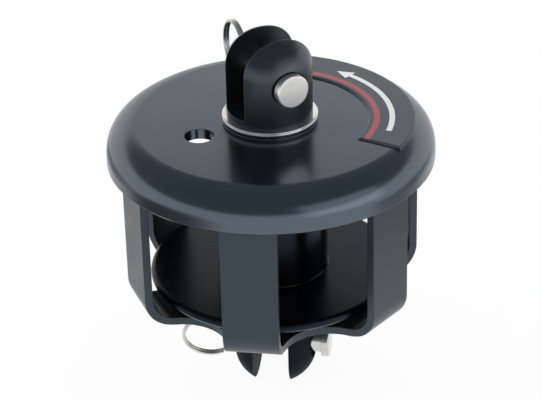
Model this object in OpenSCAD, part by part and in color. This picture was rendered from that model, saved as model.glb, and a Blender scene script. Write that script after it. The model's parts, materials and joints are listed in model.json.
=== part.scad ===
// Furling drum for a small headsail, in millimetres, +Z up.
// The origin is on the spin axis, at the axis of the lower clevis pin, which lies along X.
// Angles on plan are measured from -Y towards +X.

/* [Cap] */
// Outside diameter of the cap
cap_d = 102; // [92:1:120]
// Thickness of the cap's top plate
cap_plate_t = 3.4; // [2.8:0.1:5]
// Thickness of the cap's skirt
cap_wall = 3; // [2:0.1:3.6]
// Radius of the rolled edge between top and skirt
cap_round = 9; // [7:0.5:11]
// Height of the rim, from the top face to the bottom of the skirt
rim_h = 12.2; // [11.5:0.1:18]
// Chamfer on the outer bottom edge of the skirt
rim_chamfer = 0.5; // [0.2:0.1:0.8]
// Diameter of the hole for the furling line
line_hole_d = 9.2; // [6:0.1:10]
// Direction of the line hole on plan
line_hole_angle = -54.9; // [-90:0.1:0]
// Material left between the line hole and the spool's top
line_hole_margin = 0.3; // [0.2:0.1:3]
// Height of the label pad above the top face
pad_raise = 0.4; // [0.2:0.1:1]
// Gap on plan between the label pad and the cap's edge
pad_inset = 6.3; // [5.5:0.1:9]
// Radial width of the label pad
pad_w = 14.2; // [8:0.1:16]
// Direction on plan where the label pad starts
pad_start = 69.5; // [50:0.5:90]
// Angle that the label pad covers
pad_sweep = 120; // [60:1:150]
// Thickness of the label
film_t = 0.15; // [0.1:0.05:0.3]
// Bare edge of the pad round the label
film_inset = 0.5; // [0.2:0.1:1.5]

/* [Drum] */
// Height from the guard's underside to the cap's top face
drum_height = 60.9; // [59:0.1:75]
// Wall of the spool's barrel
barrel_wall = 2.15; // [1.8:0.05:4]
// Thickness of the spool's lower flange
flange_t = 3; // [2.4:0.1:4]
// Gap between the flange and the guard's arms
flange_gap = 4.4; // [3:0.1:8]
// Fillet between the barrel and the flange
barrel_fillet = 0.5; // [0.3:0.1:6]
// Fillet at the top of the barrel
top_fillet = 2; // [1:0.1:2.4]
// Height of the hexagonal key between spool and cap
key_h = 1.5; // [1:0.1:1.6]
// Wall of the bearing hub
hub_wall = 2.95; // [2.4:0.05:4]
// Thickness of the hub's hexagonal foot
foot_t = 2.5; // [2:0.1:3]
// Width of the hub's foot beyond its wall, at the corners
foot_w = 4.6; // [3.4:0.1:5]

/* [Line guard] */
// Number of arms
arm_count = 6; // [5:1:7]
// Width of an arm
arm_w = 17.2; // [12:0.1:20]
// Thickness of the guard
arm_t = 2.5; // [2:0.1:3]
// Gap on plan between the arms' outer faces and the cap's edge
arm_inset = 4.9; // [4.6:0.1:7]
// Outside radius of the bend at the bottom of an arm
bend_r = 10; // [6:0.1:12]
// Depth of the hollow between two arms, in from where the bends start
hollow_depth = 4.4; // [1:0.1:6]
// Length of the arms hidden inside the cap's rim
arm_tuck = 5.2; // [2:0.1:6]
// Cut on the top corners of an arm
arm_corner = 3; // [1:0.5:5]

/* [Jaws] */
// Diameter of a jaw
fork_d = 26.5; // [25:0.1:30]
// Width of the slot between the ears
slot_w = 11.7; // [8:0.1:12]
// Depth of the slot below the pin's axis
slot_depth = 11; // [8:0.1:12]
// Distance of a jaw's end beyond the pin's axis
end_reach = 13.85; // [13:0.05:16]
// Rounding of a jaw's end
end_round = 11; // [8:0.1:12]
// Depth of the spot faces under the pin's head and ring
spot_depth = 1.65; // [0.6:0.05:2]
// Rim of a spot face round the pin's head
spot_rim = 0.3; // [0.2:0.1:1.5]
// Height of the upper pin's axis above the cap's top face
upper_pin_height = 15.5; // [15:0.1:20]
// Direction of the upper pin's head on plan
upper_angle = 37.5; // [0:0.5:90]
// Height of the guard's underside above the lower pin's axis
seat_height = 19.1; // [18.4:0.1:28]
// Width of the shoulder where the upper jaw sits on its washer
shoulder_w = 1.25; // [1:0.05:2]
// Length of the upper jaw's screwed spigot below its shoulder
spigot_len = 14.4; // [12:0.1:16]
// Height of the boss on the cap under the upper jaw's washer
boss_h = 1.2; // [0.6:0.1:1.4]
// Step between the boss and the washer's edge
boss_step = 0.3; // [0.1:0.1:1]
// Thickness of the washer under the upper jaw
washer_t = 1.2; // [0.8:0.1:1.4]
// Width of the washer that shows round the jaw
washer_rim = 1.58; // [1:0.05:2.5]

/* [Pins and rings] */
// Diameter of a clevis pin
pin_d = 8; // [6:0.1:8.5]
// Diameter of a pin's head
head_d = 10.6; // [9.5:0.1:12]
// Thickness of a pin's head
head_t = 2.4; // [1.6:0.1:4]
// Rounding on the edge of a pin's head
head_round = 0.5; // [0.2:0.1:0.8]
// Distance from the far spot face to the cross hole, with the head seated
hole_setback = 5.75; // [5.7:0.05:7]
// Length of the pin beyond its cross hole
tip_len = 3.2; // [2.6:0.1:5]
// Chamfer on the pin's tip
tip_chamfer = 0.8; // [0.4:0.1:1]
// Distance that the lower pin is drawn out
lower_draw = 3.9; // [0:0.1:3.9]
// Distance that the upper pin is drawn out
upper_draw = 1.4; // [0:0.1:3.9]
// Turn of the lower pin about its own axis
lower_roll = 16; // [-30:1:30]
// Swing of the upper ring about its cross hole
upper_swing = -7.5; // [-20:0.5:20]
// Droop of the upper ring in its cross hole
upper_droop = 9; // [0:1:9]
// Swing of the lower ring about its cross hole
lower_swing = 7; // [-20:0.5:20]
// Outside diameter of a split ring
ring_d = 18.2; // [17:0.1:24]
// Turn of the upper ring's coil about its own axis
upper_coil = 100; // [0:1:110]
// Turn of the lower ring's coil about its own axis
lower_coil = 218; // [200:1:300]
// Diameter of the split ring's wire
wire_d = 1; // [0.8:0.05:1.2]

/* [Bearings] */
// Diameter of the spindle
spindle_d = 12; // [10:0.1:12]
// Wall of the sleeve on the spindle
sleeve_wall = 1.15; // [0.9:0.05:1.5]
// Diameter of the balls
ball_d = 3.175; // [2.8:0.005:3.2]
// Depth of a ball track
track_depth = 0.4; // [0.2:0.05:0.5]
// Number of balls in the thrust set
thrust_count = 14; // [10:1:14]
// Number of balls in the radial set
radial_count = 12; // [9:1:13]
// Thickness of a thrust race
race_t = 2.2; // [1.8:0.1:3]
// Radius of the radial set's ball circle
radial_pitch = 10.2; // [10:0.05:10.6]
// Wall of the radial race behind its track
radial_wall = 1.18; // [1:0.02:1.3]
// Height of the radial race above the hub's bottom
race_lift = 0.6; // [0.4:0.1:1.5]
// Length of the radial race
radial_len = 7; // [5:0.1:7]
// Thickness of a ball retainer
retainer_t = 1.2; // [0.8:0.1:1.4]
// Length of the radial retainer
retainer_len = 5; // [4.4:0.1:5.4]
// Hub ledge under the thrust set
ledge_t = 5; // [3:0.1:7]
// Width across the flats of the spindle nut
nut_af = 19; // [17:0.1:19.5]
// Height of the spindle nut
nut_h = 6; // [5:0.1:8]
// Thickness of the tab washer
tab_t = 1; // [0.6:0.1:1.2]
// Length of spindle above the nut
spindle_proud = 0.8; // [0.4:0.1:2]
// Thickness of the plain washer under the hub
slack_t = 3.9; // [3:0.1:5]

/* [Fasteners] */
// Diameter of the guard's screws
screw_d = 3; // [2.5:0.1:3]
// Diameter of a screw's head
screw_head_d = 5.6; // [4.8:0.1:5.8]
// Length of a screw in the lower jaw
screw_grip = 6; // [4:0.1:7]
// Width across the corners of a screw's hexagonal socket
screw_socket = 2.3; // [1.8:0.1:2.4]

/* [Clearances] */
// Radial clearance of pieces that are fixed together
fit = 0.05; // [0.03:0.01:0.1]
// Radial clearance of a pin in a jaw
pin_fit = 0.08; // [0.05:0.01:0.1]
// Clearance of a ball in its track
ball_fit = 0.03; // [0.02:0.01:0.05]
// Clearance of a ball in its retainer
pocket_fit = 0.08; // [0.05:0.01:0.1]
// Gap between parts that turn past each other
run_gap = 0.3; // [0.25:0.05:0.5]
// Gap between the two coils of a split ring
coil_gap = 0.06; // [0.04:0.01:0.1]
// Clearance of a split ring in its cross hole
ring_fit = 0.2; // [0.1:0.05:0.3]

/* [Hidden] */
$fn = 64;

// Colours
black_anodised = "#2a2d31";
black_moulded = "#1c1f22";
stainless = "#c9cbcd";
bearing_white = "#e6e4da";
label_grey = "#33373b";

// Overshoot of a cut past the face that it opens
cut = 1;

// Radii of the jaws and the pieces clamped under the upper one
fork_r = fork_d / 2;
spigot_r = fork_r - shoulder_w;
washer_r = fork_r + washer_rim;
boss_r = washer_r - boss_step;
bead_r = washer_t / 4;
hub_bore = spigot_r + fit;
hub_r = hub_bore + hub_wall;
foot_r = hub_r + foot_w;
spool_bore = hub_r + fit;
barrel_r = spool_bore + barrel_wall;
key_r = barrel_r + top_fillet - cut / 5;
key_fit = 2 * fit;

// Radii of the cap, guard and flange
cap_r = cap_d / 2;
cavity_r = cap_r - cap_wall;
cavity_round = cap_round - cap_wall;
arm_r = cap_r - arm_inset;
flange_r = arm_r - arm_t - flange_gap;
line_hole_r = line_hole_d / 2;
line_hole_radius = barrel_r + top_fillet + line_hole_margin + line_hole_r;
pad_outer = cap_r - pad_inset;
pad_inner = pad_outer - pad_w;

// Guard on plan: where the bends start, and the hollows that run into the arms' sides
half_step = 180 / arm_count;
bend_start = arm_r - bend_r;
hollow_reach = bend_start - hollow_depth;
hollow_r = (hollow_reach * sin(half_step) - arm_w / 2) / (1 - sin(half_step));
hollow_centre = hollow_reach + hollow_r;
hollow_end = hollow_centre * cos(half_step);
hollow_steps = 24;
// The plate is a little thicker than the arms, whose feet run into its edge
plate_step = 0.05;
plate_t = arm_t + 2 * plate_step;
plate_edge = bend_start - bend_r / 2;
foot_z = seat_height + plate_step;
flare = hollow_r - sqrt(pow(hollow_r, 2) - pow(max(hollow_end - plate_edge, 0), 2));
arm_foot_w = arm_w + 2 * (flare + cut);

// Heights of the drum, from the lower pin's axis
plate_top = seat_height + plate_t;
cap_top = seat_height + drum_height;
cap_under = cap_top - cap_plate_t;
rim_bottom = cap_top - rim_h;
arm_top = rim_bottom + arm_tuck;
slack_top = plate_top + slack_t;
hub_bottom = slack_top + run_gap;
foot_top = hub_bottom + foot_t;
spool_bottom = hub_bottom + fit;
key_top = cap_under + key_h;
hub_top = key_top + key_fit;
boss_top = cap_top + boss_h;
shoulder_z = boss_top + washer_t;
upper_pin_z = cap_top + upper_pin_height;

// Heights of the bearing stack, worked down from the upper jaw's spigot
spigot_bottom = shoulder_z - spigot_len;
spindle_top = spigot_bottom - spindle_proud;
nut_top = spindle_top - spindle_proud;
nut_bottom = nut_top - nut_h;
upper_race_top = nut_bottom - tab_t;
upper_race_bottom = upper_race_top - race_t;
ball_r = ball_d / 2;
track_r = ball_r + ball_fit;
thrust_z = upper_race_bottom + track_depth - track_r;
lower_race_top = thrust_z - track_r + track_depth;
ledge_top = lower_race_top - race_t;
ledge_bottom = ledge_top - ledge_t;
radial_z = hub_bottom + race_lift + radial_len / 2;

// Radii of the bearings
spindle_r = spindle_d / 2;
sleeve_bore = spindle_r + fit;
sleeve_r = sleeve_bore + sleeve_wall;
thrust_pitch = (sleeve_r + hub_bore) / 2;
ledge_bore = sleeve_r + 3 * run_gap;
upper_race_r = hub_bore - 2 * run_gap;
inner_track = radial_pitch - track_r + track_depth;
outer_track = radial_pitch + track_r - track_depth;
radial_race_r = radial_pitch + track_r + radial_wall;
radial_seat = radial_race_r + fit;
race_stop = radial_z + radial_len / 2;
slack_inner = inner_track + run_gap;
slack_outer = foot_r * cos(30);
hub_relief = outer_track;
pocket_r = ball_r + pocket_fit;

// Pins, rings and screws
pin_r = pin_d / 2;
head_r = head_d / 2;
spot_face = fork_r - spot_depth;
pin_grip = 2 * spot_face + hole_setback;
pin_len = pin_grip + tip_len;
wire_r = wire_d / 2;
ring_r = ring_d / 2 - wire_r;
ring_sag = ring_r - sqrt(pow(ring_r, 2) - pow(pin_r, 2));
coil_pitch = wire_d + coil_gap;
// Room in the cross hole for the ring's curve, its droop and both coils
droop_rise = ring_r * pow(tan(upper_droop), 2) / 4;
droop_fall = pin_r * tan(upper_droop) / 2;
cross_r = norm([ring_sag / 2 + droop_rise + droop_fall + wire_r, coil_pitch / 2 + wire_r]) + ring_fit;
screw_r = screw_d / 2;
screw_head_r = screw_head_d / 2;
screw_pitch = (spindle_r + fork_r) / 2;
screw_count = 4;
screw_sink = screw_head_r - screw_r;
socket_depth = screw_sink;

// Split ring: steps in a turn, sides of the wire and half the angle where it crosses over
ring_steps = 40;
wire_sides = 10;
ring_jog = 25;

// A point at a radius and a direction on plan
function on_plan(radius, angle) = [radius * sin(angle), -radius * cos(angle)];

// A smooth rise from 0 to 1
function smooth(x) = let (k = min(max(x, 0), 1)) k * k * (3 - 2 * k);

// Copies a shape round the spin axis
module around(count, start = 0) {
    for (k = [0 : count - 1])
        rotate([0, 0, start + k * 360 / count])
            children();
}

// A flat ring between two heights
module ring(inner, outer, low, high) {
    translate([0, 0, low])
        difference() {
            cylinder(r = outer, h = high - low);
            translate([0, 0, -cut])
                cylinder(r = inner, h = high - low + 2 * cut);
        }
}

// A round groove whose centre runs in a circle
module ball_track(pitch, height) {
    translate([0, 0, height])
        rotate_extrude()
            translate([pitch, 0])
                circle(r = track_r);
}

// A ring sector on plan
module sector(inner, outer, start, sweep) {
    steps = 6;
    reach = 2 * outer;
    fan = [for (k = [0 : steps]) on_plan(reach, start + k * sweep / steps)];
    intersection() {
        difference() {
            circle(r = outer);
            circle(r = inner);
        }
        polygon(concat([[0, 0]], fan));
    }
}

// A jaw with its pin axis along X at the origin, its rounded end up and its shoulder below
module jaw(shoulder) {
    height = shoulder + end_reach;
    reach = 2 * fork_r;
    difference() {
        translate([0, 0, -shoulder])
            rotate_extrude()
                intersection() {
                    square([fork_r, height]);
                    union() {
                        square([fork_r, height - end_round]);
                        square([fork_r - end_round, height]);
                        translate([fork_r - end_round, height - end_round])
                            circle(r = end_round);
                    }
                }
        translate([-slot_w / 2, -reach / 2, -slot_depth])
            cube([slot_w, reach, slot_depth + reach]);
        rotate([0, 90, 0])
            cylinder(r = pin_r + pin_fit, h = reach, center = true);
        for (side = [-1, 1])
            translate([side * spot_face, 0, 0])
                rotate([0, side * 90, 0])
                    cylinder(r = head_r + spot_rim, h = reach);
    }
}

// A clevis pin along X, with the underside of its head at the origin and its cross hole along Z
module clevis_pin() {
    color(stainless)
    difference() {
        rotate([0, -90, 0])
            rotate_extrude()
                union() {
                    polygon([
                        [0, 0], [pin_r, 0], [pin_r, pin_len - tip_chamfer],
                        [pin_r - tip_chamfer, pin_len], [0, pin_len]
                    ]);
                    translate([0, -head_t])
                        square([head_r - head_round, head_t]);
                    translate([0, head_round - head_t])
                        square([head_r, head_t - head_round]);
                    translate([head_r - head_round, head_round - head_t])
                        circle(r = head_round);
                }
        translate([-pin_grip, 0, 0])
            cylinder(r = cross_r, h = 2 * pin_d, center = true);
    }
}

// A point of the split ring's wire: two flat coils and the cross-over between them
function ring_point(turn) = [
    -ring_r * cos(turn),
    coil_pitch * (smooth((turn - 360 + ring_jog) / (2 * ring_jog)) - 0.5),
    ring_r * sin(turn)
];

// One section of the wire, square to the ring
function wire_section(turn) = [
    for (k = [0 : wire_sides - 1])
        let (a = k * 360 / wire_sides, out = wire_r * cos(a))
        ring_point(turn) + [-out * cos(turn), wire_r * sin(a), out * sin(turn)]
];

// A split ring in the XZ plane, centred at the origin
module split_ring() {
    turns = [for (k = [0 : 2 * ring_steps]) ring_jog + k * (720 - 2 * ring_jog) / (2 * ring_steps)];
    last = len(turns) - 1;
    n = wire_sides;
    points = [for (turn = turns) each wire_section(turn)];
    sides = [
        for (i = [0 : last - 1])
            for (k = [0 : n - 1])
                [i * n + k, i * n + (k + 1) % n, (i + 1) * n + (k + 1) % n, (i + 1) * n + k]
    ];
    first_cap = [for (k = [n - 1 : -1 : 0]) k];
    last_cap = [for (k = [0 : n - 1]) last * n + k];
    color(stainless)
        polyhedron(points, concat([first_cap], sides, [last_cap]), convexity = 4);
}

// Puts a split ring in the cross hole of a pin whose head's underside is at the origin
module ring_on_pin(swing, droop, coil) {
    centring = pin_r * tan(droop) / 2 - ring_r * pow(tan(droop), 2) / 4;
    translate([-pin_grip, 0, 0])
        rotate([0, 0, swing])
            translate([centring, 0, 0])
                rotate([0, -droop, 0])
                    translate([ring_sag / 2 - ring_r, 0, 0])
                        rotate([0, coil, 0])
                            split_ring();
}

// Carries a piece from the pin's own frame to the upper jaw
module on_upper_jaw() {
    translate([0, 0, upper_pin_z])
        rotate([0, 0, upper_angle - 90])
            children();
}

// Carries a pin or ring to where it lies in the lower jaw
module on_lower_pin() {
    translate([spot_face + lower_draw, 0, 0])
        rotate([lower_roll, 0, 0])
            children();
}

module lower_fork() {
    color(black_anodised)
    difference() {
        union() {
            mirror([0, 0, 1])
                jaw(seat_height);
            translate([0, 0, seat_height - cut])
                cylinder(r = spindle_r, h = spindle_top - seat_height + cut);
        }
        around(screw_count, 45)
            translate([screw_pitch, 0, seat_height - screw_grip - cut / 2])
                cylinder(r = screw_r + fit, h = screw_grip + cut);
    }
}

// The hollow beside an arm, as an arc about a centre between two arms
function hollow_arc(mid) = [
    for (k = [0 : hollow_steps])
        let (turn = (90 - half_step) * (1 - 2 * k / hollow_steps))
        on_plan(hollow_centre, mid) - on_plan(hollow_r, mid + turn)
];

// Outline of the guard on plan: straight arms, joined by hollows that run into their sides
module cage_outline() {
    polygon([
        for (k = [0 : arm_count - 1])
            let (angle = 2 * k * half_step, across = arm_w / 2 * [cos(angle), sin(angle)])
            each concat(
                [on_plan(cap_r, angle) - across, on_plan(cap_r, angle) + across],
                hollow_arc(angle + half_step)
            )
    ]);
}

// Side view of an arm: foot, bend and upright
module arm_profile() {
    translate([bend_start - bend_r, foot_z])
        square([bend_r, arm_t]);
    intersection() {
        translate([bend_start, foot_z])
            square(bend_r);
        translate([bend_start, foot_z + bend_r])
            difference() {
                circle(r = bend_r);
                circle(r = bend_r - arm_t);
            }
    }
    translate([arm_r - arm_t, foot_z + bend_r])
        square([arm_t, arm_top - foot_z - bend_r]);
}

// Front view of an arm, as wide as its foot, with its top corners cut off
module arm_front() {
    side = arm_foot_w / 2;
    top = arm_w / 2 - arm_corner;
    shoulder = arm_top - side + top;
    polygon([
        [-side, seat_height], [side, seat_height], [side, shoulder],
        [top, arm_top], [-top, arm_top], [-side, shoulder]
    ]);
}

module arm() {
    intersection() {
        rotate([90, 0, 0])
            linear_extrude(height = arm_foot_w, center = true)
                arm_profile();
        rotate([90, 0, 90])
            linear_extrude(height = cap_r)
                arm_front();
    }
}

module cage() {
    color(black_moulded)
    difference() {
        intersection() {
            union() {
                translate([0, 0, seat_height])
                    rotate(half_step - 90)
                        cylinder(r = plate_edge / cos(half_step), h = plate_t, $fn = arm_count);
                around(arm_count, -90)
                    arm();
            }
            translate([0, 0, seat_height - cut])
                linear_extrude(height = arm_top - seat_height + 2 * cut)
                    cage_outline();
        }
        translate([0, 0, seat_height - cut])
            cylinder(r = spindle_r + fit, h = plate_t + 2 * cut);
        around(screw_count, 45)
            translate([screw_pitch, 0, 0]) {
                translate([0, 0, seat_height - cut])
                    cylinder(r = screw_r + fit, h = plate_t + 2 * cut);
                translate([0, 0, plate_top - screw_sink])
                    cylinder(r1 = screw_r + fit, r2 = screw_head_r + 2 * fit, h = screw_sink);
            }
    }
}

module cage_screws() {
    color(stainless)
    around(screw_count, 45)
        translate([screw_pitch, 0, plate_top - screw_sink - fit])
            difference() {
                union() {
                    cylinder(r1 = screw_r, r2 = screw_head_r, h = screw_sink);
                    translate([0, 0, seat_height - screw_grip + screw_sink - plate_top])
                        cylinder(r = screw_r, h = plate_top - seat_height + screw_grip - screw_sink);
                }
                translate([0, 0, screw_sink - socket_depth])
                    cylinder(d = screw_socket, h = socket_depth + cut, $fn = 6);
            }
}

module bearing_sleeve() {
    foot_top_z = radial_z + radial_len / 2;
    color(stainless)
    difference() {
        union() {
            ring(sleeve_bore, sleeve_r, plate_top, upper_race_bottom);
            ring(sleeve_bore, inner_track, plate_top, foot_top_z);
        }
        ball_track(radial_pitch, radial_z);
    }
}

module upper_thrust_race() {
    color(stainless)
    difference() {
        ring(sleeve_bore, upper_race_r, upper_race_bottom, upper_race_top);
        ball_track(thrust_pitch, thrust_z);
    }
}

module lower_thrust_race() {
    color(stainless)
    difference() {
        ring(ledge_bore, hub_bore - fit, ledge_top, lower_race_top);
        ball_track(thrust_pitch, thrust_z);
    }
}

module tab_washer() {
    tab_w = nut_af / 4;
    tab_h = nut_h / 2;
    color(stainless) {
        ring(sleeve_bore, nut_af / 2 + fit + tab_t, upper_race_top, nut_bottom);
        translate([nut_af / 2 + fit, -tab_w / 2, upper_race_top])
            intersection() {
                cube([tab_t, tab_w, tab_t + tab_h]);
                translate([-nut_af / 2 - fit, tab_w / 2, 0])
                    cylinder(r = nut_af / 2 + fit + tab_t, h = tab_t + tab_h);
            }
    }
}

module spindle_nut() {
    corner_r = nut_af / 2 / cos(30);
    color(stainless)
    difference() {
        translate([0, 0, nut_bottom])
            rotate([0, 0, 30])
                cylinder(r = corner_r, h = nut_h, $fn = 6);
        translate([0, 0, nut_bottom - cut])
            cylinder(r = sleeve_bore, h = nut_h + 2 * cut);
    }
}

module slack_washer() {
    color(bearing_white)
        ring(slack_inner, slack_outer, plate_top, slack_top);
}

// Half section of the cap's outside
module cap_outside() {
    centre_r = cap_r - cap_round;
    translate([0, rim_bottom])
        square([centre_r, rim_h]);
    difference() {
        translate([0, rim_bottom])
            square([cap_r, rim_h - cap_round]);
        translate([cap_r, rim_bottom])
            rotate(45)
                square(rim_chamfer * sqrt(2), center = true);
    }
    intersection() {
        translate([centre_r, cap_top - cap_round])
            circle(r = cap_round);
        translate([centre_r, cap_top - cap_round])
            square(cap_round);
    }
}

// Half section of the hollow under the cap
module cap_hollow() {
    low = rim_bottom - cut;
    translate([-cut, low])
        square([cavity_r - cavity_round + cut, cap_under - low]);
    translate([-cut, low])
        square([cavity_r + cut, cap_under - cavity_round - low]);
    translate([cavity_r - cavity_round, cap_under - cavity_round])
        circle(r = cavity_round);
}

module drum_cap() {
    color(black_anodised)
    difference() {
        union() {
            rotate_extrude()
                difference() {
                    cap_outside();
                    cap_hollow();
                }
            translate([0, 0, cap_top - cap_plate_t / 2])
                linear_extrude(height = cap_plate_t / 2 + pad_raise)
                    sector(pad_inner, pad_outer, pad_start, pad_sweep);
            translate([0, 0, cap_top - cap_plate_t / 2])
                cylinder(r = boss_r, h = cap_plate_t / 2 + boss_h);
        }
        translate([0, 0, cap_under - cut])
            cylinder(r = spigot_r + 2 * fit, h = boss_top - cap_under + 2 * cut);
        translate([0, 0, cap_under - cut])
            cylinder(r = key_r + key_fit, h = hub_top - cap_under + cut, $fn = 6);
        translate(concat(on_plan(line_hole_radius, line_hole_angle), cap_under - cut))
            cylinder(r = line_hole_r, h = cap_plate_t + 2 * cut);
    }
}

module label_film() {
    edge_angle = film_inset / pad_inner * 180 / PI;
    color(label_grey)
        translate([0, 0, cap_top + pad_raise])
            linear_extrude(height = film_t)
                sector(pad_inner + film_inset, pad_outer - film_inset,
                    pad_start + edge_angle, pad_sweep - 2 * edge_angle);
}

// Half section of the spool, barrel and flange
module spool_section() {
    flange_top = spool_bottom + flange_t;
    edge_r = flange_t / 2;
    translate([0, spool_bottom])
        square([flange_r - edge_r, flange_t]);
    translate([flange_r - edge_r, spool_bottom + edge_r])
        circle(r = edge_r);
    translate([0, spool_bottom])
        square([barrel_r, cap_under - spool_bottom]);
    difference() {
        translate([0, spool_bottom])
            square([barrel_r + barrel_fillet, flange_t + barrel_fillet]);
        translate([barrel_r + barrel_fillet, flange_top + barrel_fillet])
            circle(r = barrel_fillet);
    }
    difference() {
        translate([0, cap_under - top_fillet])
            square([barrel_r + top_fillet, top_fillet]);
        translate([barrel_r + top_fillet, cap_under - top_fillet])
            circle(r = top_fillet);
    }
}

module spool() {
    color(black_moulded)
    difference() {
        union() {
            rotate_extrude()
                spool_section();
            translate([0, 0, cap_under - cut])
                cylinder(r = key_r, h = key_h + cut, $fn = 6);
        }
        translate([0, 0, spool_bottom - cut])
            cylinder(r = spool_bore, h = key_top - spool_bottom + 2 * cut);
        translate([0, 0, spool_bottom - cut])
            cylinder(r = foot_r + key_fit, h = foot_top - spool_bottom + cut, $fn = 6);
    }
}

module hub() {
    color(stainless)
    difference() {
        union() {
            translate([0, 0, hub_bottom])
                cylinder(r = foot_r, h = foot_t, $fn = 6);
            translate([0, 0, hub_bottom])
                cylinder(r = hub_r, h = hub_top - hub_bottom);
        }
        translate([0, 0, hub_bottom - cut])
            cylinder(r = radial_seat, h = race_stop - hub_bottom + cut);
        translate([0, 0, hub_bottom - cut])
            cylinder(r = hub_relief, h = ledge_bottom - hub_bottom + cut);
        translate([0, 0, hub_bottom - cut])
            cylinder(r = ledge_bore, h = hub_top - hub_bottom + 2 * cut);
        translate([0, 0, ledge_top])
            cylinder(r = hub_bore, h = hub_top - ledge_top + cut);
    }
}

// The washer under the upper jaw, with two rounded lips
module fork_washer() {
    bore = spigot_r + 2 * fit;
    color(stainless)
        translate([0, 0, boss_top])
            rotate_extrude()
                union() {
                    translate([bore, 0])
                        square([washer_r - bead_r - bore, washer_t]);
                    for (height = [bead_r, washer_t - bead_r])
                        translate([washer_r - bead_r, height])
                            circle(r = bead_r);
                }
}

module upper_fork() {
    color(black_anodised)
    union() {
        on_upper_jaw()
            jaw(upper_pin_z - shoulder_z);
        translate([0, 0, spigot_bottom])
            cylinder(r = spigot_r, h = spigot_len + cut);
    }
}

module radial_race() {
    color(stainless)
    difference() {
        ring(outer_track, radial_race_r, radial_z - radial_len / 2, race_stop);
        ball_track(radial_pitch, radial_z);
    }
}

module thrust_balls() {
    color(bearing_white)
    around(thrust_count)
        translate([thrust_pitch, 0, thrust_z])
            sphere(r = ball_r);
}

module thrust_retainer() {
    color(black_moulded)
    difference() {
        ring(sleeve_r + run_gap, hub_bore - run_gap, thrust_z - retainer_t / 2, thrust_z + retainer_t / 2);
        around(thrust_count)
            translate([thrust_pitch, 0, thrust_z])
                cylinder(r = pocket_r, h = 2 * retainer_t, center = true);
    }
}

module radial_balls() {
    color(bearing_white)
    around(radial_count)
        translate([radial_pitch, 0, radial_z])
            sphere(r = ball_r);
}

module radial_retainer() {
    color(black_moulded)
    difference() {
        ring(radial_pitch - retainer_t / 2, radial_pitch + retainer_t / 2,
            radial_z - retainer_len / 2, radial_z + retainer_len / 2);
        around(radial_count)
            translate([radial_pitch, 0, radial_z])
                rotate([0, 90, 0])
                    cylinder(r = pocket_r, h = 2 * retainer_t, center = true);
    }
}

module upper_clevis_pin() {
    on_upper_jaw()
        translate([spot_face + upper_draw, 0, 0])
            clevis_pin();
}

module upper_split_ring() {
    on_upper_jaw()
        translate([spot_face + upper_draw, 0, 0])
            ring_on_pin(upper_swing, upper_droop, upper_coil);
}

module lower_clevis_pin() {
    on_lower_pin()
        clevis_pin();
}

module lower_split_ring() {
    on_lower_pin()
        ring_on_pin(lower_swing, 0, lower_coil);
}

lower_fork();
cage();
cage_screws();
bearing_sleeve();
upper_thrust_race();
tab_washer();
spindle_nut();
slack_washer();
drum_cap();
label_film();
spool();
hub();
fork_washer();
upper_fork();
lower_thrust_race();
radial_race();
thrust_balls();
thrust_retainer();
radial_balls();
radial_retainer();
upper_clevis_pin();
upper_split_ring();
lower_clevis_pin();
lower_split_ring();
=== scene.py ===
"""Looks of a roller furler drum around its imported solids: finishes, label print, studio and camera."""
import json
import math

import bmesh
import bpy
from mathutils import Matrix, Vector


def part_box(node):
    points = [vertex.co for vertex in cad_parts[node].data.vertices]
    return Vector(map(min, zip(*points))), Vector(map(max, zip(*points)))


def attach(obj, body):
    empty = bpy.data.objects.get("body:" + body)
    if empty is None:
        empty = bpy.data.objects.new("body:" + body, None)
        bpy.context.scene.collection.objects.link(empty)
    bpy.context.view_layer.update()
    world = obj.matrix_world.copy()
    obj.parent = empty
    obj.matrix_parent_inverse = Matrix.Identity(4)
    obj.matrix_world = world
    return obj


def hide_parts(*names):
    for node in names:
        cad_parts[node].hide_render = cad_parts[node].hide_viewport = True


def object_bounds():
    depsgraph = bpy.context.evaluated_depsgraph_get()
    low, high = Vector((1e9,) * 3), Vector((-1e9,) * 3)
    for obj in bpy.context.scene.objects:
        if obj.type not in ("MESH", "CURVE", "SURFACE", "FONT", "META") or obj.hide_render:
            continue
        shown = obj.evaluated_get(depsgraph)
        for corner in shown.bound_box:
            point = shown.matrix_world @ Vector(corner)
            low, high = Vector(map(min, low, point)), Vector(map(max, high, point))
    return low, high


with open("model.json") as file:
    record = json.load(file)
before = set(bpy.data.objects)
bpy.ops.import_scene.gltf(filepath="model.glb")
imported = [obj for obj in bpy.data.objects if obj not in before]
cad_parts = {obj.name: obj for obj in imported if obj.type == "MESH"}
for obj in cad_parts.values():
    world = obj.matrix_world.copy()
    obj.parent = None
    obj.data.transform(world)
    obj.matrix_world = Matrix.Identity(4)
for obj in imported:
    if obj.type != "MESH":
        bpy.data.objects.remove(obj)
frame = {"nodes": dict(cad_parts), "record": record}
cad_low, cad_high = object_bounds()
MM = 0.001
WHITE = "#ffffff"


def linear(code):
    """Linear colour from an sRGB hex code."""
    parts = [int(code[i:i + 2], 16) / 255 for i in (1, 3, 5)]
    return [c / 12.92 if c <= 0.04045 else ((c + 0.055) / 1.055) ** 2.4 for c in parts] + [1.0]


def add(tree, kind, inputs=None, **settings):
    """One node with its settings, and its inputs as values or links."""
    node = tree.nodes.new(kind)
    for name, value in settings.items():
        setattr(node, name, value)
    for name, value in (inputs or {}).items():
        if isinstance(value, bpy.types.NodeSocket):
            tree.links.new(value, node.inputs[name])
        else:
            node.inputs[name].default_value = value
    return node


def blank(name):
    """A material with an empty node tree."""
    material = bpy.data.materials.new(name)
    material.use_nodes = True
    material.node_tree.nodes.clear()
    return material, material.node_tree


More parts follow.
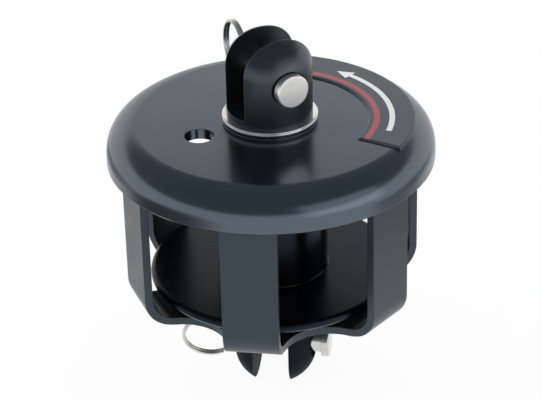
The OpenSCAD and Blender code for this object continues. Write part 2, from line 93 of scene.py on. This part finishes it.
def placed(name, mesh, material):
    """An object for a mesh of one material, put in the scene."""
    mesh.materials.append(material)
    piece = bpy.data.objects.new(name, mesh)
    bpy.context.scene.collection.objects.link(piece)
    return piece


def mesh_of(name, shape):
    """A mesh from a closed shape, with its faces turned outwards."""
    bmesh.ops.recalc_face_normals(shape, faces=shape.faces)
    mesh = bpy.data.meshes.new(name)
    shape.to_mesh(mesh)
    shape.free()
    return mesh


# What all hard finishes share: the part of the cloud noise that takes the colour and the gloss from
# one end to the other, how far a softened edge turns from its own colour to the paler edge colour (wear
# and a painted edge highlight), as a cosine, the noises' detail, and the rays that soften an edge
COLOUR_SPAN = (0.35, 0.65)
GLOSS_SPAN = (0.3, 0.7)
WEAR_AND_HIGHLIGHT_SPAN = (0.985, 0.86)
CLOUD_DETAIL, GRIT_DETAIL = 4.0, 2.0
EDGE_RAYS = 6


def finish_of(name, colour, shade, wear_and_edge_highlight, patch, roughness, grain, depth, edge, ior=None, tint=WHITE,
              metallic=0.0):
    """A hard finish: clouded colour, uneven gloss, surface grain, and soft edges drawn paler: partly
    wear, partly a painted edge highlight.

    patch, grain, depth and edge are sizes in millimetres; roughness is the smoothest and the
    roughest value.
    """
    material, tree = blank(name)
    place = add(tree, "ShaderNodeTexCoord").outputs["Object"]
    cloud = add(tree, "ShaderNodeTexNoise", {
        "Vector": place, "Scale": 1 / (patch * MM), "Detail": CLOUD_DETAIL})
    cloudy = add(tree, "ShaderNodeMapRange", {
        "Value": cloud.outputs["Fac"], "From Min": COLOUR_SPAN[0], "From Max": COLOUR_SPAN[1]})
    clouded = add(tree, "ShaderNodeMix", {
        0: cloudy.outputs["Result"], 6: linear(colour), 7: linear(shade)}, data_type="RGBA")
    rounded = add(tree, "ShaderNodeBevel", {"Radius": edge * MM}, samples=EDGE_RAYS)
    bare = add(tree, "ShaderNodeNewGeometry").outputs["Normal"]
    turn = add(tree, "ShaderNodeVectorMath", {
        0: rounded.outputs["Normal"], 1: bare}, operation="DOT_PRODUCT")
    corner = add(tree, "ShaderNodeMapRange", {
        "Value": turn.outputs["Value"], "From Min": WEAR_AND_HIGHLIGHT_SPAN[0], "From Max": WEAR_AND_HIGHLIGHT_SPAN[1]})
    worn_and_lit_edge = add(tree, "ShaderNodeMath", {
        0: corner.outputs["Result"], 1: cloud.outputs["Fac"]}, operation="MULTIPLY")
    # Paler edges: partly wear, partly a painted edge highlight that stands in for light catching the
    # edges
    coloured = add(tree, "ShaderNodeMix", {
        0: worn_and_lit_edge.outputs["Value"], 6: clouded.outputs[2], 7: linear(wear_and_edge_highlight)}, data_type="RGBA")
    gloss = add(tree, "ShaderNodeMapRange", {
        "Value": cloud.outputs["Fac"], "From Min": GLOSS_SPAN[0], "From Max": GLOSS_SPAN[1],
        "To Min": roughness[0], "To Max": roughness[1]})
    grit = add(tree, "ShaderNodeTexNoise", {
        "Vector": place, "Scale": 1 / (grain * MM), "Detail": GRIT_DETAIL})
    bump = add(tree, "ShaderNodeBump", {
        "Height": grit.outputs["Fac"], "Distance": depth * MM, "Strength": 1.0,
        "Normal": rounded.outputs["Normal"]})
    values = {
        "Base Color": coloured.outputs[2], "Roughness": gloss.outputs["Result"],
        "Metallic": metallic, "Specular Tint": linear(tint), "Normal": bump.outputs["Normal"]}
    if ior:
        values["IOR"] = ior
    shader = add(tree, "ShaderNodeBsdfPrincipled", values)
    add(tree, "ShaderNodeOutputMaterial", {"Surface": shader.outputs["BSDF"]})
    return material


# The grain that blasting, tumbling, turning, drawing, polishing or a mould's spark finish leaves is
# 0.02 to 0.1 mm. In the finishes below it is drawn at 0.4 to 0.7 mm so that it shows; the nylon's
# orange peel is real size.

# Hard anodised aluminium, turned and bead blasted: near black with a cold cast, and a satin oxide film
# that turns grey where it mirrors a pale room.
anodised_cap = finish_of(
    "hard_anodised_aluminium", colour="#060809", shade="#0a0c0e", wear_and_edge_highlight="#4a4f54", patch=14,
    roughness=(0.19, 0.23), grain=0.5, depth=0.0008, edge=0.3, ior=2.25, tint="#d8ecff")

# Hard coat anodised forging, tumbled before the coat: deeper black and duller than the turned cap.
coated_forging = finish_of(
    "hard_coated_forging", colour="#07090b", shade="#0b0d10", wear_and_edge_highlight="#454b51", patch=10,
    roughness=(0.3, 0.36), grain=0.6, depth=0.0015, edge=0.35, ior=1.85, tint="#dff0ff")

# The lower forging takes the same coat, drawn as a darker, duller copy of it: painted shade for the
# shadowed table that it mirrors, nearly black even in front of a pale table.
shaded_forging_copy = finish_of(
    "shaded_copy_coated_forging", colour="#07090d", shade="#0a0d12", wear_and_edge_highlight="#343a40", patch=10,
    roughness=(0.6, 0.7), grain=0.7, depth=0.002, edge=0.35, ior=1.28, tint="#c9e6ff")

# Moulded black glass-filled nylon: a matt skin with a slight orange peel, paler along its corners,
# partly from knocks and partly as a painted edge highlight.
moulded_nylon = finish_of(
    "moulded_black_nylon", colour="#14191e", shade="#1a2025", wear_and_edge_highlight="#4d545a", patch=9,
    roughness=(0.34, 0.4), grain=0.9, depth=0.004, edge=0.4, ior=1.7, tint="#d3ebff")

# Turned black acetal: a waxy sheen, polished by line running on it.
turned_acetal = finish_of(
    "turned_black_acetal", colour="#020304", shade="#040507", wear_and_edge_highlight="#07090b", patch=8,
    roughness=(0.24, 0.29), grain=0.7, depth=0.0008, edge=0.35, ior=1.38, tint="#b9deff")

# Polished stainless steel of the ring under the upper jaw: a bright warm-white mirror with a faint haze
# from the polishing mop.
polished_stainless = finish_of(
    "polished_stainless_steel", colour="#e6e5e2", shade="#dddcda", wear_and_edge_highlight="#f2f2f1", patch=6,
    roughness=(0.08, 0.13), grain=0.6, depth=0.0003, edge=0.2, metallic=1.0)

# Drawn stainless wire of the split rings: bright, hazed by the drawing die.
drawn_wire = finish_of(
    "drawn_stainless_wire", colour="#cfcecb", shade="#c0bfbd", wear_and_edge_highlight="#e2e2e1", patch=4,
    roughness=(0.18, 0.25), grain=0.5, depth=0.0004, edge=0.1, metallic=1.0)

# Turned stainless of the lower pin: a greyer mirror than the polished ring, left as it came off the
# lathe, its colour drawn darker than the upper pin's as painted shade.
shaded_pin_steel = finish_of(
    "turned_stainless_pin", colour="#d4d3d0", shade="#c9c8c6", wear_and_edge_highlight="#ececeb", patch=6,
    roughness=(0.16, 0.22), grain=0.5, depth=0.0005, edge=0.25, metallic=1.0)

# Tumbled stainless of the upper pin: the same steel with a soft satin from the tumbling stones, its
# colour drawn whiter than the lower pin's as a painted highlight.
lit_pin_steel = finish_of(
    "tumbled_stainless_steel", colour="#f2f1ee", shade="#e9e8e5", wear_and_edge_highlight="#f8f8f7", patch=6,
    roughness=(0.34, 0.4), grain=0.6, depth=0.0006, edge=0.25, metallic=1.0)

# Turned stainless steel of the bearing's parts: greyer than the pieces outside, with a haze from the
# tool's feed.
turned_stainless = finish_of(
    "turned_stainless_steel", colour="#b9babb", shade="#a6a8aa", wear_and_edge_highlight="#d9d9d9", patch=3,
    roughness=(0.2, 0.28), grain=0.4, depth=0.0006, edge=0.15, metallic=1.0)

# White acetal balls and slack washer: dense, slightly creamy, with a soft waxy shine.
white_acetal = finish_of(
    "white_acetal", colour="#e6e4da", shade="#dcd9cd", wear_and_edge_highlight="#efeee8", patch=2,
    roughness=(0.22, 0.32), grain=0.5, depth=0.001, edge=0.1, ior=1.48)

# Moulded black retainers: dull, with the mould's fine spark finish.
moulded_retainer = finish_of(
    "moulded_black_retainer", colour="#191c1f", shade="#202427", wear_and_edge_highlight="#4b5054", patch=4,
    roughness=(0.45, 0.55), grain=0.6, depth=0.004, edge=0.2, ior=1.5)


def label_vinyl():
    """Printed vinyl under a clear film: glossy slate grey with a dull red stripe at its inner edge."""
    # The stripe's edges from the spindle's axis, the print's soft edge and the grey's clouds, in mm
    stripe_inner, stripe_outer, soft = 32.0, 33.8, 0.1
    patch, patch_detail = 6, 3.0
    smoothest, roughest, film_ior = 0.26, 0.3, 1.58
    material, tree = blank("printed_vinyl_film")
    place = add(tree, "ShaderNodeTexCoord").outputs["Object"]
    axes = add(tree, "ShaderNodeSeparateXYZ", {"Vector": place})
    flat = add(tree, "ShaderNodeCombineXYZ", {"X": axes.outputs["X"], "Y": axes.outputs["Y"]})
    radius = add(tree, "ShaderNodeVectorMath", {
        0: flat.outputs["Vector"]}, operation="LENGTH").outputs["Value"]
    inner = add(tree, "ShaderNodeMapRange", {
        "Value": radius, "From Min": (stripe_inner - soft / 2) * MM,
        "From Max": (stripe_inner + soft / 2) * MM})
    outer = add(tree, "ShaderNodeMapRange", {
        "Value": radius, "From Min": (stripe_outer + soft / 2) * MM,
        "From Max": (stripe_outer - soft / 2) * MM})
    stripe = add(tree, "ShaderNodeMath", {
        0: inner.outputs["Result"], 1: outer.outputs["Result"]}, operation="MULTIPLY")
    cloud = add(tree, "ShaderNodeTexNoise", {
        "Vector": place, "Scale": 1 / (patch * MM), "Detail": patch_detail})
    grey = add(tree, "ShaderNodeMix", {
        0: cloud.outputs["Fac"], 6: linear("#3c4248"), 7: linear("#41474d")}, data_type="RGBA")
    printed = add(tree, "ShaderNodeMix", {
        0: stripe.outputs["Value"], 6: grey.outputs[2], 7: linear("#a8484e")}, data_type="RGBA")
    gloss = add(tree, "ShaderNodeMapRange", {
        "Value": cloud.outputs["Fac"], "To Min": smoothest, "To Max": roughest})
    shader = add(tree, "ShaderNodeBsdfPrincipled", {
        "Base Color": printed.outputs[2], "Roughness": gloss.outputs["Result"], "IOR": film_ior,
        "Specular Tint": linear("#e6f2ff")})
    add(tree, "ShaderNodeOutputMaterial", {"Surface": shader.outputs["BSDF"]})
    return material


def printed_white():
    """White screen-print ink: opaque, flat, a little broken where the mesh laid it down."""
    # The print mesh is 0.1 mm; drawn at 0.4 mm so that it shows
    mesh_step, mesh_detail = 0.4, 2.0
    smoothest, roughest, ink_ior = 0.3, 0.45, 1.5
    material, tree = blank("white_screen_print_ink")
    place = add(tree, "ShaderNodeTexCoord").outputs["Object"]
    mesh = add(tree, "ShaderNodeTexNoise", {
        "Vector": place, "Scale": 1 / (mesh_step * MM), "Detail": mesh_detail})
    ink = add(tree, "ShaderNodeMix", {
        0: mesh.outputs["Fac"], 6: linear("#dfe2e5"), 7: linear("#f2f3f5")}, data_type="RGBA")
    gloss = add(tree, "ShaderNodeMapRange", {
        "Value": mesh.outputs["Fac"], "To Min": smoothest, "To Max": roughest})
    shader = add(tree, "ShaderNodeBsdfPrincipled", {
        "Base Color": ink.outputs[2], "Roughness": gloss.outputs["Result"], "IOR": ink_ior})
    add(tree, "ShaderNodeOutputMaterial", {"Surface": shader.outputs["BSDF"]})
    return material


FINISHES = {
    anodised_cap: ["drum_cap"],
    coated_forging: ["upper_fork"],
    shaded_forging_copy: ["lower_fork"],
    moulded_nylon: ["cage"],
    turned_acetal: ["spool"],
    polished_stainless: ["fork_washer"],
    shaded_pin_steel: ["lower_clevis_pin"],
    drawn_wire: ["upper_split_ring", "lower_split_ring"],
    lit_pin_steel: ["upper_clevis_pin"],
    turned_stainless: ["hub", "bearing_sleeve", "upper_thrust_race", "lower_thrust_race",
                       "radial_race", "spindle_nut", "tab_washer", "cage_screws"],
    white_acetal: ["thrust_balls", "radial_balls", "slack_washer"],
    moulded_retainer: ["thrust_retainer", "radial_retainer"],
    label_vinyl(): ["label_film"],
}
for material, names in FINISHES.items():
    for name in names:
        for slot in frame["nodes"][name].material_slots:
            slot.material = material


def turning_arrow():
    """A plain curved arrow printed on the label, for the way that the drum turns."""
    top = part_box("label_film")[1].z
    inner, outer, barb_reach, print_t = 35.9 * MM, 39.3 * MM, 0.7 * MM, 0.02 * MM
    start, neck, tip = -8, 56, 64
    steps = 56
    middle, half_shaft = (inner + outer) / 2, (outer - inner) / 4
    shape = bmesh.new()

    def corner(radius, angle):
        turn = math.radians(angle)
        return shape.verts.new((radius * math.cos(turn), radius * math.sin(turn), top))

    rows = []
    for k in range(steps + 1):
        angle = start + (neck - start) * k / steps
        rows.append([corner(middle - half_shaft, angle), corner(middle + half_shaft, angle)])
    for low, high in zip(rows, rows[1:]):
        shape.faces.new([low[0], low[1], high[1], high[0]])
    barbs = [corner(inner - barb_reach, neck), corner(outer + barb_reach, neck)]
    point = corner(middle, tip)
    head = [barbs[0], *rows[-1], barbs[1]]
    for low, high in zip(head, head[1:]):
        shape.faces.new([low, high, point])
    bmesh.ops.recalc_face_normals(shape, faces=shape.faces)
    raised = bmesh.ops.extrude_face_region(shape, geom=shape.faces[:])
    lifted = [v for v in raised["geom"] if isinstance(v, bmesh.types.BMVert)]
    bmesh.ops.translate(shape, verts=lifted, vec=(0, 0, print_t))
    arrow = placed("turning_arrow", mesh_of("turning_arrow", shape), printed_white())
    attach(arrow, "drum")


def coiled_ring(name, node, body, place):
    """A split ring of round wire wound twice, as smooth as drawn wire, with its two ends chamfered."""
    coil_r, wire_r, pitch, end_taper = 8.6, 0.5, 1.06, 0.7
    # Degrees along the wire: one turn, the whole coil, and half of the cross-over in its middle
    one_turn, wound, jog = 360, 720, 25
    steps, sides = 240, 20
    shape = bmesh.new()
    rows = []
    for k in range(steps + 1):
        turn = jog + k * (wound - 2 * jog) / steps
        crossed = min(max((turn - one_turn + jog) / (2 * jog), 0), 1)
        shift = pitch * (crossed * crossed * (3 - 2 * crossed) - 0.5)
        wire = wire_r * (end_taper if k in (0, steps) else 1)
        row = []
        for side in range(sides):
            around = 2 * math.pi * side / sides
            out = coil_r + wire * math.cos(around)
            spot = Vector((-out * math.cos(math.radians(turn)), shift + wire * math.sin(around),
                           out * math.sin(math.radians(turn))))
            row.append(shape.verts.new((place @ spot) * MM))
        rows.append(row)
    for low, high in zip(rows, rows[1:]):
        for k in range(sides):
            after = (k + 1) % sides
            shape.faces.new([low[k], low[after], high[after], high[k]]).smooth = True
    for end in (rows[0], rows[-1]):
        shape.faces.new(end)
    ring = placed(name, mesh_of(name, shape), drawn_wire)
    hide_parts(node)
    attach(ring, body)


def split_rings():
    """Both rings in their pins' cross holes."""
    def turned(angle, axis):
        return Matrix.Rotation(math.radians(angle), 4, axis)

    hinges = {joint["name"]: joint for joint in frame["record"]["behaviour"]["joints"]}
    upper = Matrix.Translation(Vector(hinges["upper_ring_swing"]["pos_m"]) / MM)
    lower = Matrix.Translation(Vector(hinges["lower_ring_swing"]["pos_m"]) / MM)
    # The ring's middle from the cross hole, and how far a drooping ring shifts in the hole, in mm
    middle = Matrix.Translation((-8.107, 0, 0))
    droop_shift = Matrix.Translation((0.263, 0, 0))
    # Degrees: how the pin or its hole lies, the ring's swing about the hole, its droop in the hole, and
    # where along the coil the wire's ends are
    pin_heading, upper_swing, upper_droop, upper_coil = -52.5, -7.5, -9, 270
    lower_roll, lower_swing, lower_coil = 16, 7, 218
    coiled_ring("upper_ring_wire", "upper_split_ring", "upper_ring",
                upper @ turned(pin_heading + upper_swing, "Z") @ droop_shift
                @ turned(upper_droop, "Y") @ middle @ turned(upper_coil, "Y"))
    coiled_ring("lower_ring_wire", "lower_split_ring", "lower_ring",
                lower @ turned(lower_roll, "X") @ turned(lower_swing, "Z") @ middle
                @ turned(lower_coil, "Y"))


def seen(tree):
    """1 for what shows, straight, in gloss or through clear pieces, and 0 for the room's fill light."""
    path = add(tree, "ShaderNodeLightPath")
    near = add(tree, "ShaderNodeMath", {
        0: path.outputs["Is Camera Ray"], 1: path.outputs["Is Glossy Ray"]}, operation="MAXIMUM")
    return add(tree, "ShaderNodeMath", {
        0: near.outputs["Value"], 1: path.outputs["Is Transmission Ray"]},
        operation="MAXIMUM").outputs["Value"]


def pale_room():
    """A room that shows white but fills with half of that light."""
    fill_light, shown_light = 0.5, 1.0
    world = bpy.data.worlds.new("pale_room")
    bpy.context.scene.world = world
    world.use_nodes = True
    tree = world.node_tree
    tree.nodes.clear()
    fill = add(tree, "ShaderNodeBackground", {"Color": linear(WHITE), "Strength": fill_light})
    white = add(tree, "ShaderNodeBackground", {"Color": linear(WHITE), "Strength": shown_light})
    room = add(tree, "ShaderNodeMixShader", {
        0: seen(tree), 1: fill.outputs[0], 2: white.outputs[0]})
    add(tree, "ShaderNodeOutputWorld", {"Surface": room.outputs[0]})
    world.cycles.sampling_method = "NONE"


def table_paper():
    """Pale paper that glows nearly white, with a trace of shadow, and has grey patches of painted shade
    that only gloss shows.
    """
    glow_share = 0.94
    # Painted shade: soft grey patches that gloss alone sees, so that the rim's lower wall darkens
    # towards its
    # sides: middle, radius of the grey core and radius where it has faded to white, in metres, and grey
    gloss_shade_patches = [((-0.2, -0.11), 0.07, 0.17, "#595f65"), ((-0.3, 0.13), 0.08, 0.17, "#a0a5aa"),
               ((0.24, 0.03), 0.06, 0.13, "#a6abb0"), ((0.34, 0.19), 0.08, 0.18, "#b0b5ba")]
    paper, tree = blank("pale_table_paper")
    diffuse = add(tree, "ShaderNodeBsdfDiffuse", {"Color": linear("#f4f4f4")})
    place = add(tree, "ShaderNodeNewGeometry").outputs["Position"]
    gloss_shaded = linear(WHITE)
    for middle, core, faded, grey in gloss_shade_patches:
        away = add(tree, "ShaderNodeVectorMath", {
            0: place, 1: (*middle, cad_low[2])}, operation="DISTANCE")
        fade = add(tree, "ShaderNodeMapRange", {
            "Value": away.outputs["Value"], "From Min": core, "From Max": faded},
            interpolation_type="SMOOTHSTEP")
        patch = add(tree, "ShaderNodeMix", {
            0: fade.outputs["Result"], 6: linear(grey), 7: linear(WHITE)}, data_type="RGBA")
        gloss_shaded = add(tree, "ShaderNodeMix", {
            0: 1.0, 6: gloss_shaded, 7: patch.outputs[2]}, data_type="RGBA",
            blend_type="MULTIPLY").outputs[2]
    gloss = add(tree, "ShaderNodeLightPath").outputs["Is Glossy Ray"]
    white_or_gloss_shaded = add(tree, "ShaderNodeMix", {
        0: gloss, 6: linear(WHITE), 7: gloss_shaded}, data_type="RGBA")
    glow = add(tree, "ShaderNodeEmission", {"Color": white_or_gloss_shaded.outputs[2], "Strength": 1.0})
    share = add(tree, "ShaderNodeMath", {0: seen(tree), 1: glow_share}, operation="MULTIPLY")
    lit = add(tree, "ShaderNodeMixShader", {
        0: share.outputs["Value"], 1: diffuse.outputs[0], 2: glow.outputs[0]})
    add(tree, "ShaderNodeOutputMaterial", {"Surface": lit.outputs[0]})
    paper.cycles.emission_sampling = "NONE"
    return paper


def ceiling_grey():
    """A dim, even grey."""
    ceiling, tree = blank("dim_grey_ceiling")
    dim = add(tree, "ShaderNodeEmission", {"Color": linear("#7a8288"), "Strength": 1.0})
    add(tree, "ShaderNodeOutputMaterial", {"Surface": dim.outputs[0]})
    ceiling.cycles.emission_sampling = "NONE"
    return ceiling


def table_and_ceiling():
    """The table that the drum stands on, and the dim room above the white one."""
    floor_z, reach = cad_low[2], 3.0
    mesh = bpy.data.meshes.new("table")
    mesh.from_pydata([(-reach, -reach, floor_z), (reach, -reach, floor_z), (reach, reach, floor_z),
                      (-reach, reach, floor_z)], [], [(0, 1, 2, 3)])
    top = placed("table", mesh, table_paper())

    # The ceiling starts low in front and high behind, stops just short of overhead, and only gloss
    # shows it: metres, and degrees above the table
    columns, levels, radius = 48, 10, 2.5
    front_edge, back_edge, crown = 12, 31, 89.5
    points = []
    for column in range(columns):
        around = 2 * math.pi * column / columns
        edge = front_edge + (back_edge - front_edge) * (1 - math.cos(around)) / 2
        for level in range(levels):
            rise = math.radians(edge + (crown - edge) * level / (levels - 1))
            out = radius * math.cos(rise)
            points.append((out * math.sin(around), -out * math.cos(around), radius * math.sin(rise)))
    faces = []
    for column in range(columns):
        here, after = column * levels, (column + 1) % columns * levels
        faces += [(here + k, after + k, after + k + 1, here + k + 1) for k in range(levels - 1)]
    mesh = bpy.data.meshes.new("ceiling")
    mesh.from_pydata(points, [], faces)
    room_top = placed("ceiling", mesh, ceiling_grey())
    for ray in ("visible_camera", "visible_diffuse", "visible_shadow"):
        setattr(room_top, ray, False)


def softboxes():
    """Three square softboxes, aimed at the drum's middle; gloss shows only the right one."""
    aim = Vector((0, 0, 0.05))
    # Place and size in metres, power in watts, and whether gloss shows the lamp
    lamps = {"overhead_softbox": ((0.0, 0.25, 0.95), 0.9, 4.0, False),
             "left_softbox": ((-0.85, -0.15, 0.35), 0.7, 3.5, False),
             "right_softbox": ((0.8, -0.5, 0.25), 1.0, 2.0, True)}
    for name, (place, size, power, glossy) in lamps.items():
        data = bpy.data.lights.new(name, "AREA")
        data.shape = "SQUARE"
        data.size = size
        data.energy = power
        lamp = bpy.data.objects.new(name, data)
        bpy.context.scene.collection.objects.link(lamp)
        lamp.visible_glossy = glossy
        lamp.location = place
        lamp.rotation_euler = (aim - Vector(place)).to_track_quat("-Z", "Y").to_euler()


def photo_camera():
    """The camera of the photograph: 29 degrees down from the front right, with a slight roll."""
    pitch, heading, roll = math.radians(29.39), math.radians(9.5), math.radians(-1.49)
    place = (0.1015, -0.6089, 0.3988)
    # Sensor in mm; focal length and width of the photograph in its pixels
    sensor, focal, photo_width = 36, 2253, 542
    nearest = 0.01
    ahead = Vector((0, math.cos(pitch), -math.sin(pitch)))
    right = Vector((1, 0, 0))
    up = Vector((0, math.sin(pitch), math.cos(pitch)))
    across = math.cos(roll) * right + math.sin(roll) * up
    upright = -math.sin(roll) * right + math.cos(roll) * up
    facing = Matrix.Rotation(heading, 3, "Z") @ Matrix((across, upright, -ahead)).transposed()
    data = bpy.data.cameras.new("photo_camera")
    data.sensor_width = sensor
    data.lens = sensor * focal / photo_width
    data.clip_start = nearest
    camera = bpy.data.objects.new("photo_camera", data)
    camera.matrix_world = Matrix.Translation(place) @ facing.to_4x4()
    bpy.context.scene.collection.objects.link(camera)
    bpy.context.scene.camera = camera


turning_arrow()
split_rings()
bpy.context.scene.view_settings.view_transform = "Standard"
pale_room()
table_and_ceiling()
softboxes()
photo_camera()
